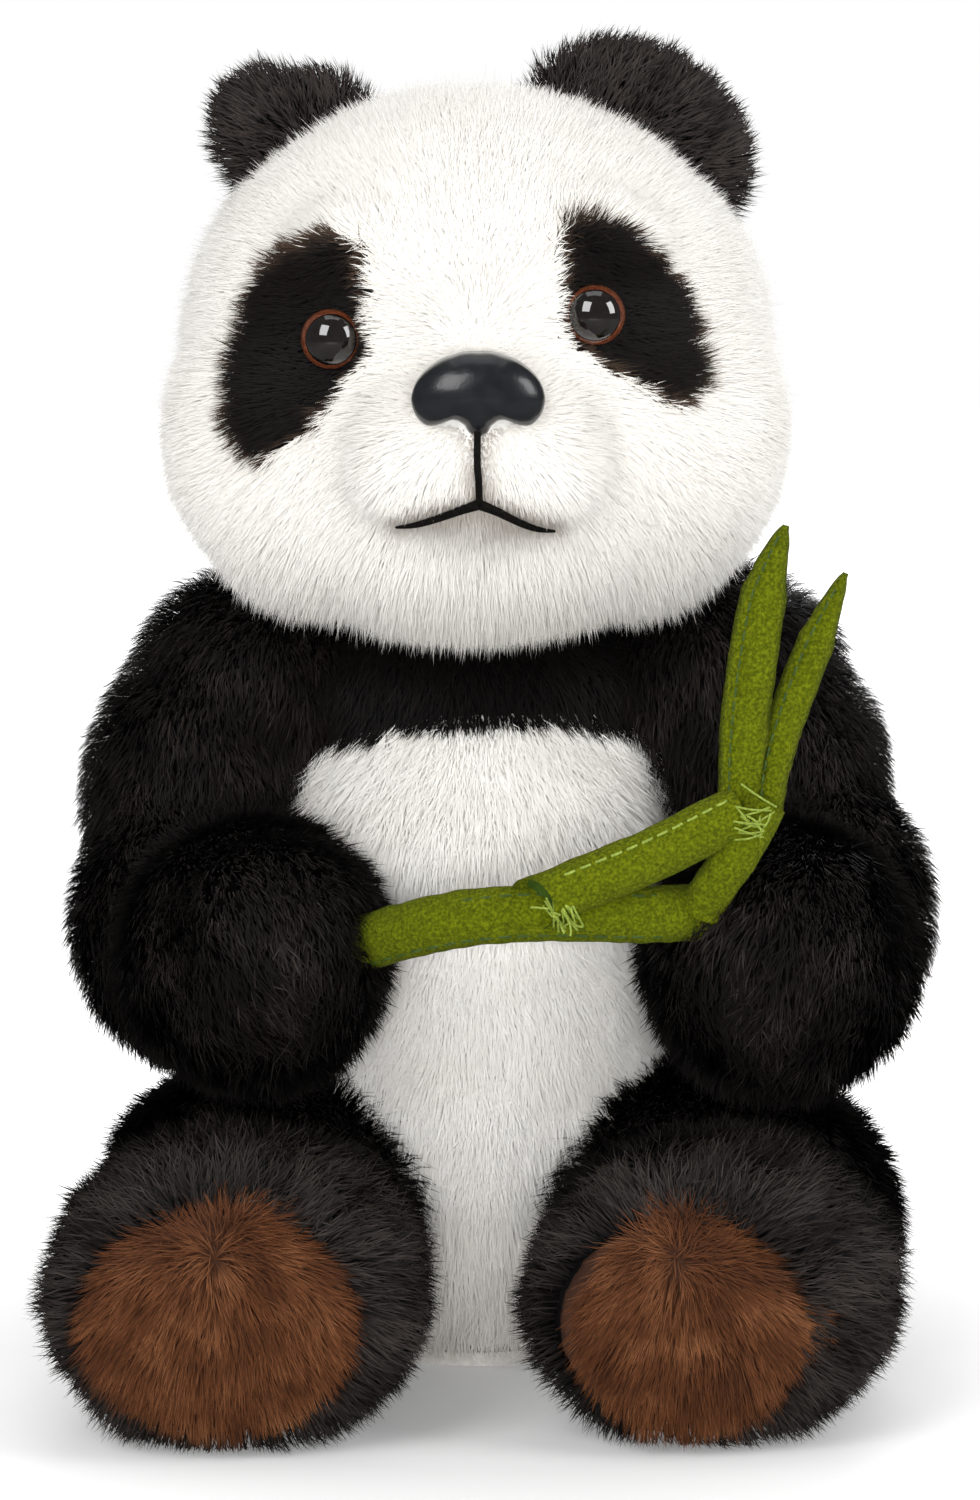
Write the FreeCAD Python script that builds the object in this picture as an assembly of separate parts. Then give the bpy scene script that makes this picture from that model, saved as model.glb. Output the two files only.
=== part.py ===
import FreeCAD, Part
import math
import os

# A seated plush panda, 0.29 m tall, holding a sprig of felt bamboo.
# +Z is up, the face looks along -Y, and +X is on the left-hand side of the animal.
# While it is modelled, X = 0 is the middle of the head and Y = 0 is the line through the
# shoulders. At the end everything moves so that the origin is the middle of the box that
# holds the toy, on the surface it sits on.

V = FreeCAD.Vector
UP = V(0, 0, 1)
ALONG_X = V(1, 0, 0)
ALONG_Y = V(0, 1, 0)
SIDES = {"right": -1, "left": 1}  # the animal's own right and left

# Cloth and the spaces between pieces
CLOTH = 3.0  # plush backing with its flattened pile
FIT = 0.2  # between pieces of one sewn body
CLEAR = 0.6  # between bodies that move against each other
LAID = 0.1  # between a sewn-on piece and the cloth under it
REACH = 400.0  # longer than the toy, for the blocks that cut it

# Head: a ball with a round muzzle, flat where it meets the neck
HEAD_C = V(0, -6, 217)
HEAD_R = 62.0
NECK_Z = 157.5
MUZZLE_C = V(0, -54, 202)
MUZZLE_R = 26.0
FACE_SEAM_Y = -2.0

# Eyes: 12 mm moulded domes on shanks, with a washer behind the cloth
EYE_R = 6.0
EYE_DOME = 4.6
EYE_LIFT = 0.35  # from the cloth to the flat back of an eye
EYE_AIM = {"right": V(-29.5, -54.5, 7.5), "left": V(25.0, -56.5, 12.5)}  # from the head's middle
PATCH_THICK = 2.0
PATCH_HALF_WIDTH = 14.0
PATCH_HALF_LENGTH = 23.0
PATCH_LEAN = 24.0  # degrees, the lower end outwards
PATCH_SHIFT = V(7.0, 0, -6.0)  # from the eye to the middle of the patch, outwards and down
SHANK_R = 2.0
SHANK_LENGTH = 11.0
SHANK_GRIP = 0.05  # between a shank and its washer
WASHER_R = 7.0
WASHER_THICK = 1.5
WASHER_BACK = 0.7  # behind the cloth, which curves

# Nose: moulded, 28 mm wide
NOSE_C = V(0.5, -80.3, 214.0)
NOSE_HALF_WIDTH = 14.0
NOSE_HALF_HEIGHT = 8.4
NOSE_DEPTH = 8.5
NOSE_ROUND = 4.0
NOSE_SHANK_LENGTH = 15.0
NOSE_WASHER_R = 5.0
NOSE_WASHER_BACK = 12.0  # from the back of the nose to its washer

# Mouth: one thread down from the nose and two out to the corners
THREAD_R = 0.6
KNOT_R = 0.9  # where the three lines meet
MOUTH_TOP_Z = 204.5
MOUTH_JOIN_Z = 193.0
MOUTH_CORNER = V(15.8, 0, 187.0)

# Ears: round pads sewn behind the crown
EAR_C = {"right": V(-38.5, 4, 257.5), "left": V(33.5, 4, 261.0)}
EAR_R = 25.5
EAR_HALF_THICK = 6.0

# Body: turned about an upright line behind the belly, flat where it sits
BODY_C = V(0, 4, 0)
BODY_PROFILE = [(38, 0), (45, 55), (24, 156.4)]  # radius and height of three points of its side
YOKE_Z = 138.0
SEAT_R = 35.0
PELLET_BAG_C = V(0, 10, 31)
PELLET_BAG_R = 30.0
PELLET_BAG_LOW = 4.4
PELLET_BAG_HIGH = 46.4
PELLET_BAG_GAP = 6.0  # from the outside of the body
TAIL_C = V(0, 58, 33)
TAIL_R = 14.0

# Arms: shoulder, elbow and paw, each a centre and a radius. Both swing about one line.
SHOULDER_X = 59.0
SHOULDER_Z = 141.0
SHOULDER_R = 24.0
ELBOW_STEP = 0.4  # the forearm's elbow ball is this much smaller than the upper arm's
ARMS = {
    "right": [(V(-SHOULDER_X, 0, SHOULDER_Z), SHOULDER_R), (V(-66, -31, 96), 25.0), (V(-46, -62, 95), 27.0)],
    "left": [(V(SHOULDER_X, 0, SHOULDER_Z), SHOULDER_R), (V(70, -29, 99), 26.0), (V(61, -61, 95), 27.0)],
}

# Legs: turned about a level line from the hip to the sole
HIP = V(38, -14, 33.5)
HIP_R = 29.0
FOOT_R = 33.5
SOLE_C = V(50, -103, 33.5)
SOLE_ROUND = 9.0
FOOT_SHARE = 0.6  # how far from the hip to the sole the leg reaches its full width
PAD_R = 26.0
PAD_THICK = 4.0
PAD_DROP = 3.0

# Bamboo: a felt tube held in both paws, with a branch, a twig and two leaves
STALK = [V(-50, -66, 92), V(-5, -77, 108), V(14, -79, 110), V(60, -74, 110)]
STALK_R = 6.0
FELT = 1.5
BRANCH = [V(13, -85, 114), V(52, -81, 128)]
BRANCH_R = 5.4
TWIG = [V(46, -79, 112), V(58, -79, 129)]
TWIG_R = 4.6
TIE_R = 0.7
LEAVES = {  # foot, tip, half width of each felt leaf, and the Y of its front face
    "long": (V(55.5, 0, 133), V(62, 0, 188), 5.6, -81.0),
    "short": (V(61, 0, 132), V(75, 0, 178), 5.2, -78.6),
}
LEAF_THICK = 1.6
LEAF_FOOT = 2.6  # half width at the foot of a leaf
LOWER_TIE_ALONG = 6.0  # from the foot of the branch
UPPER_TIE_ALONG = 2.5  # from the tip of the twig
STEM_END = 0.5  # free space past the tip of a stem


def body_of_revolution(inset):
    """The body turned about its upright line, its surface moved in by inset."""
    low, waist, high = [V(radius - inset, 0, height) for radius, height in BODY_PROFILE]
    low, high = low + UP * inset, high - UP * inset
    edges = [
        Part.LineSegment(V(0, 0, low.z), low).toShape(),
        Part.Arc(low, waist, high).toShape(),
        Part.LineSegment(high, V(0, 0, high.z)).toShape(),
        Part.LineSegment(V(0, 0, high.z), V(0, 0, low.z)).toShape(),
    ]
    solid = Part.Face(Part.Wire(edges)).revolve(V(0, 0, 0), UP, 360)
    solid.translate(BODY_C)
    return solid


def ball(centre, radius):
    return Part.makeSphere(radius, centre)


def rod(start, end, radius):
    return Part.makeCylinder(radius, (end - start).Length, start, end - start)


def capsule(start, start_r, end, end_r):
    """The smooth skin over two balls, as one turned solid."""
    length = (end - start).Length
    lean = math.asin((start_r - end_r) / length)
    side, rise = math.cos(lean), math.sin(lean)

    def on(ball_z, radius, angle):
        return V(radius * math.cos(angle), 0, ball_z + radius * math.sin(angle))

    quarter = math.pi / 2
    first, last = V(start_r * side, 0, start_r * rise), V(end_r * side, 0, length + end_r * rise)
    edges = [
        Part.Arc(on(0, start_r, -quarter), on(0, start_r, (lean - quarter) / 2), first).toShape(),
        Part.LineSegment(first, last).toShape(),
        Part.Arc(last, on(length, end_r, (lean + quarter) / 2), on(length, end_r, quarter)).toShape(),
        Part.LineSegment(on(length, end_r, quarter), on(0, start_r, -quarter)).toShape(),
    ]
    solid = Part.Face(Part.Wire(edges)).revolve(V(0, 0, 0), UP, 360)
    solid.Placement = FreeCAD.Placement(start, FreeCAD.Rotation(UP, end - start))
    return solid


def half_space(y_from, y_to):
    """A block over the whole height of the toy between two depths."""
    return Part.makeBox(REACH, y_to - y_from, REACH, V(-REACH / 2, y_from, -CLOTH))


def level_slab(z_from, z_to):
    """A block over the whole width and depth of the toy between two heights."""
    return Part.makeBox(REACH, REACH, z_to - z_from, V(-REACH / 2, -REACH / 2, z_from))


def head_solid(grow):
    """The head with its muzzle, its surface moved out by grow."""
    above_neck = level_slab(NECK_Z - grow, REACH)
    return ball(HEAD_C, HEAD_R + grow).fuse(ball(MUZZLE_C, MUZZLE_R + grow)).common(above_neck)


def arm_solid(side, grow):
    (shoulder, shoulder_r), (elbow, elbow_r), (paw, paw_r) = ARMS[side]
    upper = capsule(shoulder, shoulder_r + grow, elbow, elbow_r + grow)
    lower = capsule(elbow, elbow_r + grow - ELBOW_STEP, paw, paw_r + grow)
    return upper.fuse(lower)


def leg_solid(side, grow):
    """A leg with a ball at the hip and a flat sole, its surface moved out by grow."""
    length = (SOLE_C - HIP).Length
    hip_r, foot_r, front = HIP_R + grow, FOOT_R + grow, length + grow
    corner = front - SOLE_ROUND
    diagonal = math.sqrt(0.5)
    slant = SOLE_ROUND * (1 - diagonal)
    calf = V(foot_r, 0, length * FOOT_SHARE)
    rim = V(foot_r - SOLE_ROUND, 0, front)
    edges = [
        Part.Arc(V(0, 0, -hip_r), V(hip_r * diagonal, 0, -hip_r * diagonal), V(hip_r, 0, 0)).toShape(),
        Part.LineSegment(V(hip_r, 0, 0), calf).toShape(),
        Part.LineSegment(calf, V(foot_r, 0, corner)).toShape(),
        Part.Arc(V(foot_r, 0, corner), V(foot_r - slant, 0, front - slant), rim).toShape(),
        Part.LineSegment(rim, V(0, 0, front)).toShape(),
        Part.LineSegment(V(0, 0, front), V(0, 0, -hip_r)).toShape(),
    ]
    solid = Part.Face(Part.Wire(edges)).revolve(V(0, 0, 0), UP, 360)
    sign = SIDES[side]
    hip, sole = V(sign * HIP.x, HIP.y, HIP.z), V(sign * SOLE_C.x, SOLE_C.y, SOLE_C.z)
    solid.Placement = FreeCAD.Placement(hip, FreeCAD.Rotation(UP, sole - hip))
    return solid


def body_solid(inset):
    """The body, hollowed where the legs are sewn on, its surface moved in by inset."""
    solid = body_of_revolution(inset)
    for side in SIDES:
        solid = solid.cut(leg_solid(side, CLEAR + inset))
    return solid


def eye_frame(side):
    """Where an eye sits on the head, and the way it looks."""
    out = V(EYE_AIM[side]).normalize()
    return HEAD_C + out * HEAD_R, out


def dome(centre, out, radius, height):
    """A lens-shaped cap: part of a ball, flat behind."""
    ball_r = (radius**2 + height**2) / (2 * height)
    whole = ball(centre - out * (ball_r - height), ball_r)
    front = Part.makeCylinder(radius * 2, height * 2, centre, out)
    return whole.common(front)


def eye_pieces(side):
    spot, out = eye_frame(side)
    seat = spot + out * EYE_LIFT
    eye = dome(seat, out, EYE_R, EYE_DOME).fuse(rod(seat, seat - out * SHANK_LENGTH, SHANK_R))
    behind = spot - out * (CLOTH + WASHER_BACK)
    washer = rod(behind, behind - out * WASHER_THICK, WASHER_R)
    return eye, washer.cut(rod(seat, seat - out * 2 * SHANK_LENGTH, SHANK_R + SHANK_GRIP))


def patch_outline(side):
    """A long oval block through the face, for the dark patch round an eye."""
    spot, _ = eye_frame(side)
    sign = SIDES[side]
    middle = spot + V(sign * PATCH_SHIFT.x, 0, PATCH_SHIFT.z)
    oval = Part.Ellipse(V(0, 0, 0), PATCH_HALF_LENGTH, PATCH_HALF_WIDTH).toShape()
    block = Part.Face(Part.Wire(oval)).extrude(UP * (HEAD_R + MUZZLE_R))
    block.rotate(V(0, 0, 0), UP, 90 + sign * PATCH_LEAN)
    block.rotate(V(0, 0, 0), ALONG_X, 90)
    block.translate(V(middle.x, HEAD_C.y, middle.z))
    return block


def nose_pieces():
    oval = Part.Ellipse(V(0, 0, 0), NOSE_HALF_WIDTH, NOSE_HALF_HEIGHT).toShape()
    block = Part.Face(Part.Wire(oval)).extrude(V(0, 0, NOSE_DEPTH))
    rim = [e for e in block.Edges if e.CenterOfMass.z > NOSE_DEPTH / 2 and e.isClosed()]
    block = block.makeFillet(NOSE_ROUND, rim)
    block.rotate(V(0, 0, 0), ALONG_X, 90)
    block.translate(NOSE_C)
    shank_end = NOSE_C + ALONG_Y * NOSE_SHANK_LENGTH
    nose = block.fuse(rod(NOSE_C, shank_end, SHANK_R))
    behind = NOSE_C + ALONG_Y * NOSE_WASHER_BACK
    washer = rod(behind, behind + ALONG_Y * WASHER_THICK, NOSE_WASHER_R)
    return nose, washer.cut(rod(NOSE_C, shank_end, SHANK_R + SHANK_GRIP))


def thread_between(start, end):
    """A thread lying on the muzzle along the shortest way between two points on it."""
    lie = MUZZLE_R + THREAD_R + LAID
    first = (start - MUZZLE_C).normalize()
    last = (end - MUZZLE_C).normalize()
    ring = Part.makeTorus(lie, THREAD_R, V(0, 0, 0), UP, -180, 180, math.degrees(first.getAngle(last)))
    across = first.cross(last).normalize()
    turn = FreeCAD.Rotation(first, across.cross(first), across, "XYZ")
    ring.Placement = FreeCAD.Placement(MUZZLE_C, turn)
    return ring


def on_muzzle(x, z):
    depth = math.sqrt(MUZZLE_R**2 - x**2 - (z - MUZZLE_C.z) ** 2)
    return V(x, MUZZLE_C.y - depth, z)


def mouth_thread():
    join = on_muzzle(NOSE_C.x, MOUTH_JOIN_Z)
    out = (join - MUZZLE_C).normalize()
    knot = ball(join + out * (KNOT_R + LAID), KNOT_R)
    mouth = knot.fuse(thread_between(on_muzzle(NOSE_C.x, MOUTH_TOP_Z), join))
    for sign in SIDES.values():
        corner = on_muzzle(sign * MOUTH_CORNER.x, MOUTH_CORNER.z)
        mouth = mouth.fuse(thread_between(join, corner))
    return mouth


def ear(side):
    """A round pad, thick in the middle, cut where it meets the head."""
    back = V(EAR_C[side])
    pad = dome(back, ALONG_Y, EAR_R, EAR_HALF_THICK).fuse(dome(back, -ALONG_Y, EAR_R, EAR_HALF_THICK))
    return pad.cut(ball(HEAD_C, HEAD_R + FIT))


def head_pieces():
    outer, inner = head_solid(0), head_solid(-CLOTH)
    cover = outer.cut(inner)
    stuffing = head_solid(-CLOTH - FIT)
    nose, nose_washer = nose_pieces()
    pieces = {"nose": nose, "nose_washer": nose_washer, "mouth_thread": mouth_thread()}
    nose_hole = rod(NOSE_C, NOSE_C + ALONG_Y * (NOSE_SHANK_LENGTH + FIT), SHANK_R + FIT)
    room_end = NOSE_C + ALONG_Y * (NOSE_WASHER_BACK + WASHER_THICK + FIT)
    nose_room = rod(NOSE_C, room_end, NOSE_WASHER_R + FIT)
    cover = cover.cut(nose_hole)
    stuffing = stuffing.cut(nose_hole).cut(nose_room)
    layer = head_solid(PATCH_THICK + LAID).cut(head_solid(LAID))
    for side in SIDES:
        spot, out = eye_frame(side)
        pieces["eye_" + side], pieces["eye_washer_" + side] = eye_pieces(side)
        shank_hole = rod(spot + out * EYE_DOME, spot - out * (SHANK_LENGTH + FIT), SHANK_R + FIT)
        room_depth = CLOTH + WASHER_BACK + WASHER_THICK + FIT
        washer_room = rod(spot, spot - out * room_depth, WASHER_R + FIT)
        cover = cover.cut(shank_hole)
        stuffing = stuffing.cut(shank_hole).cut(washer_room)
        eye_hole = rod(spot - out * EYE_DOME, spot + out * 2 * EYE_DOME, EYE_R + FIT)
        pieces["eye_patch_" + side] = layer.common(patch_outline(side)).cut(eye_hole)
        pieces["ear_" + side] = ear(side)
    pieces["face_cover"] = cover.common(half_space(-REACH, FACE_SEAM_Y - FIT / 2))
    pieces["head_back_cover"] = cover.common(half_space(FACE_SEAM_Y + FIT / 2, REACH))
    pieces["head_stuffing"] = stuffing
    return pieces


def body_pieces():
    outer = body_solid(0)
    cover = outer.cut(body_solid(CLOTH))
    above, below = level_slab(YOKE_Z + FIT, REACH), level_slab(-CLOTH, YOKE_Z)
    seat = Part.makeCylinder(SEAT_R, CLOTH, BODY_C)
    seat_hole = Part.makeCylinder(SEAT_R + FIT, CLOTH * 1.5, BODY_C - UP)
    white = cover.common(below).cut(seat_hole)
    bag = ball(PELLET_BAG_C, PELLET_BAG_R).common(level_slab(PELLET_BAG_LOW, PELLET_BAG_HIGH))
    bag = bag.common(body_solid(PELLET_BAG_GAP))
    stuffing = body_solid(CLOTH + FIT).cut(ball(PELLET_BAG_C, PELLET_BAG_R + FIT))
    stuffing = stuffing.common(level_slab(PELLET_BAG_C.z, REACH))
    return {
        "yoke_cover": cover.common(above),
        "belly_cover": white.common(half_space(-REACH, BODY_C.y - FIT / 2)),
        "back_cover": white.common(half_space(BODY_C.y + FIT / 2, REACH)),
        "seat_panel": seat,
        "pellet_bag": bag,
        "body_stuffing": stuffing,
        "tail": ball(TAIL_C, TAIL_R).cut(body_of_revolution(-FIT)),
    }


def arm_pieces(side):
    return {
        "arm_cover_" + side: arm_solid(side, 0).cut(arm_solid(side, -CLOTH)),
        "arm_stuffing_" + side: arm_solid(side, -CLOTH - FIT),
    }


def leg_pieces(side):
    pad_centre = V(SIDES[side] * SOLE_C.x, SOLE_C.y, SOLE_C.z)
    hip = V(SIDES[side] * HIP.x, HIP.y, HIP.z)
    out = (pad_centre - hip).normalize()
    pad_centre = pad_centre + out * (FIT / 2) - UP * PAD_DROP
    pad = Part.makeCylinder(PAD_R, PAD_THICK, pad_centre, out)
    rim = max(pad.Edges, key=lambda e: (e.CenterOfMass - hip).dot(out) if e.isClosed() else -1)
    return {
        "leg_cover_" + side: leg_solid(side, 0).cut(leg_solid(side, -CLOTH)),
        "leg_stuffing_" + side: leg_solid(side, -CLOTH - FIT),
        "sole_pad_" + side: pad.makeFillet(PAD_THICK * 0.6, [rim]),
    }


def tube(points, radius):
    """A round tube through points, with a ball at each bend."""
    solid = rod(points[0], points[1], radius)
    for start, end in zip(points[1:], points[2:]):
        solid = solid.fuse(ball(start, radius)).fuse(rod(start, end, radius))
    return solid


def leaf(foot, tip, half_width, front_y):
    """A flat pointed leaf between two arcs."""
    middle = (foot + tip) * 0.5
    feet = [foot - ALONG_X * LEAF_FOOT, foot + ALONG_X * LEAF_FOOT]
    edges = [
        Part.Arc(feet[0], middle - ALONG_X * half_width, tip).toShape(),
        Part.Arc(tip, middle + ALONG_X * half_width, feet[1]).toShape(),
        Part.LineSegment(feet[1], feet[0]).toShape(),
    ]
    solid = Part.Face(Part.Wire(edges)).extrude(ALONG_Y * LEAF_THICK)
    solid.translate(ALONG_Y * front_y)
    return solid


def tie(centre, axis, ring_r):
    return Part.makeTorus(ring_r, TIE_R, centre, axis)


def bamboo_pieces():
    paws = arm_solid("left", FIT).fuse(arm_solid("right", CLEAR))
    outer = tube(STALK, STALK_R).cut(paws)
    bore = tube(STALK, STALK_R - FELT)
    closed_ends = arm_solid("left", FIT + FELT).fuse(arm_solid("right", CLEAR + FELT))
    bore = bore.cut(closed_ends)
    filling = tube(STALK, STALK_R - FELT - FIT).cut(arm_solid("left", 2 * FIT + FELT))
    filling = filling.cut(arm_solid("right", CLEAR + FIT + FELT))
    stalk_room = tube(STALK, STALK_R + FIT)
    branch = rod(BRANCH[0], BRANCH[1], BRANCH_R).cut(stalk_room)
    branch_way = (BRANCH[1] - BRANCH[0]).normalize()
    branch_room = rod(BRANCH[0], BRANCH[1] + branch_way * STEM_END, BRANCH_R + FIT)
    twig = rod(TWIG[0], TWIG[1], TWIG_R).cut(stalk_room).cut(branch_room).cut(paws)
    twig_way = (TWIG[1] - TWIG[0]).normalize()
    twig_room = rod(TWIG[0], TWIG[1] + twig_way * STEM_END, TWIG_R + FIT)
    lower = tie(BRANCH[0] + branch_way * LOWER_TIE_ALONG, branch_way, BRANCH_R + TIE_R + LAID)
    upper = tie(TWIG[1] - twig_way * UPPER_TIE_ALONG, twig_way, TWIG_R + TIE_R + LAID)
    pieces = {
        "bamboo_stalk": outer.cut(bore),
        "bamboo_filling": filling,
        "bamboo_branch": branch,
        "bamboo_twig": twig,
        "bamboo_tie_lower": lower.cut(stalk_room),
        "bamboo_tie_upper": upper.cut(branch_room),
    }
    for name, spec in LEAVES.items():
        pieces["bamboo_leaf_" + name] = leaf(*spec).cut(branch_room).cut(twig_room)
    return pieces


def main_solid(shape):
    """The largest solid of a cut, without the crumbs that a cut can leave."""
    return max(shape.Solids, key=lambda s: s.Volume)


def main():
    pieces = head_pieces()
    pieces.update(body_pieces())
    for side in SIDES:
        pieces.update(arm_pieces(side))
        pieces.update(leg_pieces(side))
    pieces.update(bamboo_pieces())
    pieces = {name: main_solid(shape) for name, shape in pieces.items()}

    whole = FreeCAD.BoundBox()
    for shape in pieces.values():
        whole.add(shape.optimalBoundingBox(True))
    shift = V(-whole.Center.x, -whole.Center.y, -whole.ZMin)
    print("size", round(whole.XLength, 2), round(whole.YLength, 2), round(whole.ZLength, 2))
    print("shift", round(shift.x, 3), round(shift.y, 3), round(shift.z, 3))

    os.makedirs("parts", exist_ok=True)
    for name, shape in sorted(pieces.items()):
        shape.translate(shift)
        print(f"{name:22s} valid {shape.isValid()} volume {shape.Volume / 1000:8.2f} cm3")
        shape.exportStep("parts/" + name + ".step")


main()
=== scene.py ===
"""Plush panda with a sprig of felt bamboo: the looks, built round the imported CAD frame.

Each soft part is a closed skin sculpted from overlapping balls, with a pile of tapered
strands combed over it. Lengths inside the piece functions are millimetres in the toy's own
frame, where X = 0 is the middle of the head and Y = 0 the line through the shoulders;
to_row() turns them into metres in the row frame.
"""
import math

import bmesh
import bpy
import numpy as np
from mathutils import Matrix, Vector, kdtree, noise
from mathutils.bvhtree import BVHTree


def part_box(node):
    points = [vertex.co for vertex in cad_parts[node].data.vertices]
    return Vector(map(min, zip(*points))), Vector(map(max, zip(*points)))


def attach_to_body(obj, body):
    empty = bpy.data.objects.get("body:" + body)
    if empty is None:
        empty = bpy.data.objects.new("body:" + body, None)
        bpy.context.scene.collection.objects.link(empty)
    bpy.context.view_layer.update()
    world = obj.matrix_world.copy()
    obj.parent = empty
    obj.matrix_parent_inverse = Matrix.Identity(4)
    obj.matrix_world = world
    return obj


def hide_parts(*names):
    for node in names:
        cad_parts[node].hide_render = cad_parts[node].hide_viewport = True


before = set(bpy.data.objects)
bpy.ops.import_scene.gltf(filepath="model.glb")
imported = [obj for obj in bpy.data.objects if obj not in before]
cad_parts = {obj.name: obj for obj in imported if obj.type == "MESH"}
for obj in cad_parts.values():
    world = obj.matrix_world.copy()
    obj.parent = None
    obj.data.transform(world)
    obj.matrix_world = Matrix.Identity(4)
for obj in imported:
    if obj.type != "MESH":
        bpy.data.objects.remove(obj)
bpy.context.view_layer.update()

MM = 0.001
SEAT_BEHIND = 4.0  # mm from the shoulder line back to the middle of the seat panel
seat_low, seat_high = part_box("seat_panel")
ORIGIN = Vector(((seat_low.x + seat_high.x) / 2, (seat_low.y + seat_high.y) / 2 - SEAT_BEHIND * MM, 0))
SIDES = {"right": -1, "left": 1}  # the animal's own right and left; the camera sees its right on the left


def to_row(points):
    """Points in millimetres in the toy's frame, as metres in the row frame."""
    return np.asarray(points, float) * MM + np.array(ORIGIN)


# ---------------------------------------------------------------- camera, lights, floor

CAMERA_AIM = Vector((3.0, 0.0, 131.2))
CAMERA_DISTANCE = 1065.0
CAMERA_ELEVATION = math.radians(8)
FRAME_HEIGHT = 330.75  # what the long side of the frame sees at the aim point, in mm


def make_camera():
    data = bpy.data.cameras.new("camera")
    data.sensor_width = 36.0
    data.lens = data.sensor_width * CAMERA_DISTANCE / FRAME_HEIGHT
    data.clip_start = 0.05
    data.clip_end = 20
    camera = bpy.data.objects.new("camera", data)
    bpy.context.scene.collection.objects.link(camera)
    back = Vector((0, -math.cos(CAMERA_ELEVATION), math.sin(CAMERA_ELEVATION)))
    camera.location = Vector(to_row(CAMERA_AIM)) + back * CAMERA_DISTANCE * MM
    camera.rotation_euler = back.to_track_quat("Z", "Y").to_euler()
    bpy.context.scene.camera = camera


def area_light(name, place, aim, width, height, watts):
    data = bpy.data.lights.new(name, "AREA")
    data.shape = "RECTANGLE"
    data.size = width
    data.size_y = height
    data.energy = watts
    light = bpy.data.objects.new(name, data)
    light.location = place
    light.rotation_euler = (Vector(place) - Vector(aim)).to_track_quat("Z", "Y").to_euler()
    bpy.context.scene.collection.objects.link(light)
    return light


def by_ray(tree, socket, to_camera, to_gloss, to_others):
    """Sets a socket to one value for the camera, one for gloss and one for the light cast.

    Returns the camera's socket, which can take a link instead of the value."""
    path = tree.nodes.new("ShaderNodeLightPath")
    gloss, seen = tree.nodes.new("ShaderNodeMix"), tree.nodes.new("ShaderNodeMix")
    gloss.inputs["A"].default_value = to_others
    gloss.inputs["B"].default_value = to_gloss
    seen.inputs["B"].default_value = to_camera
    tree.links.new(path.outputs["Is Glossy Ray"], gloss.inputs["Factor"])
    tree.links.new(path.outputs["Is Camera Ray"], seen.inputs["Factor"])
    tree.links.new(gloss.outputs["Result"], seen.inputs["A"])
    tree.links.new(seen.outputs["Result"], socket)
    return seen.inputs["B"]


MIDDLE = (0, 0, 0.15)  # of the toy, in metres
LIGHTS = {  # place, aim, width and height in metres, and watts
    "key_softbox": ((-0.60, -0.95, 0.95), MIDDLE, 0.65, 0.85, 8.2),
    "fill_softbox": ((1.10, -0.45, 0.75), MIDDLE, 0.5, 0.8, 6.4),
    "top_softbox": ((0.0, 0.15, 1.3), MIDDLE, 0.8, 0.8, 1.6),
    "back_softbox": ((0.3, 1.3, 0.9), MIDDLE, 0.9, 0.7, 10.0),
    "low_front_panel": ((0.0, -1.3, 0.22), (0, 0, 0.09), 0.7, 0.3, 9.5),
}
SKY = (1.0, 0.10, 0.50)  # strength for the camera, in gloss, and as a light
FLOOR_TONE = (0.78, 0.10, 0.78)
FLOOR_GLOW = (1.0, 0.05, 0.12)
GLOW_NEAR = (0.09, 0.16)  # distance from the middle in metres, and how much the floor glows there
GLOW_FAR = (0.34, 0.95)


def make_studio():
    scene = bpy.context.scene
    scene.view_settings.view_transform = "Standard"
    world = bpy.data.worlds.new("studio")
    scene.world = world
    world.use_nodes = True
    background = world.node_tree.nodes["Background"]
    background.inputs["Color"].default_value = (1.0, 1.0, 1.0, 1)
    by_ray(world.node_tree, background.inputs["Strength"], *SKY)
    for name, values in LIGHTS.items():
        light = area_light(name, *values)
        light.visible_glossy = name != "low_front_panel"
    bpy.ops.mesh.primitive_plane_add(size=6, location=(0, 0, -0.0004))
    floor = bpy.context.object
    floor.name = "floor"
    material, shader, tree = new_material("floor_paper", roughness=0.8, specular=0.2)
    by_ray(tree, shader.inputs["Base Color"], *FLOOR_TONE)
    shader.inputs["Emission Color"].default_value = (1, 1, 1, 1)
    glow = by_ray(tree, shader.inputs["Emission Strength"], *FLOOR_GLOW)
    place = tree.nodes.new("ShaderNodeNewGeometry")
    distance = tree.nodes.new("ShaderNodeVectorMath")
    distance.operation = "LENGTH"
    spread = tree.nodes.new("ShaderNodeMapRange")
    for end, (metres, share) in (("Min", GLOW_NEAR), ("Max", GLOW_FAR)):
        spread.inputs["From " + end].default_value = metres
        spread.inputs["To " + end].default_value = share
    tree.links.new(place.outputs["Position"], distance.inputs[0])
    tree.links.new(distance.outputs["Value"], spread.inputs["Value"])
    tree.links.new(spread.outputs["Result"], glow)
    floor.data.materials.append(material)


# ---------------------------------------------------------------- materials


def new_material(name, roughness, sheen=0.0, sheen_tint=(1, 1, 1), specular=0.5, coat=0.0):
    material = bpy.data.materials.new(name)
    material.use_nodes = True
    shader = material.node_tree.nodes["Principled BSDF"]
    shader.inputs["Roughness"].default_value = roughness
    shader.inputs["Specular IOR Level"].default_value = specular
    shader.inputs["Sheen Weight"].default_value = sheen
    shader.inputs["Sheen Tint"].default_value = (*sheen_tint, 1)
    shader.inputs["Coat Weight"].default_value = coat
    shader.inputs["Coat Roughness"].default_value = 0.05
    return material, shader, material.node_tree


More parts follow.
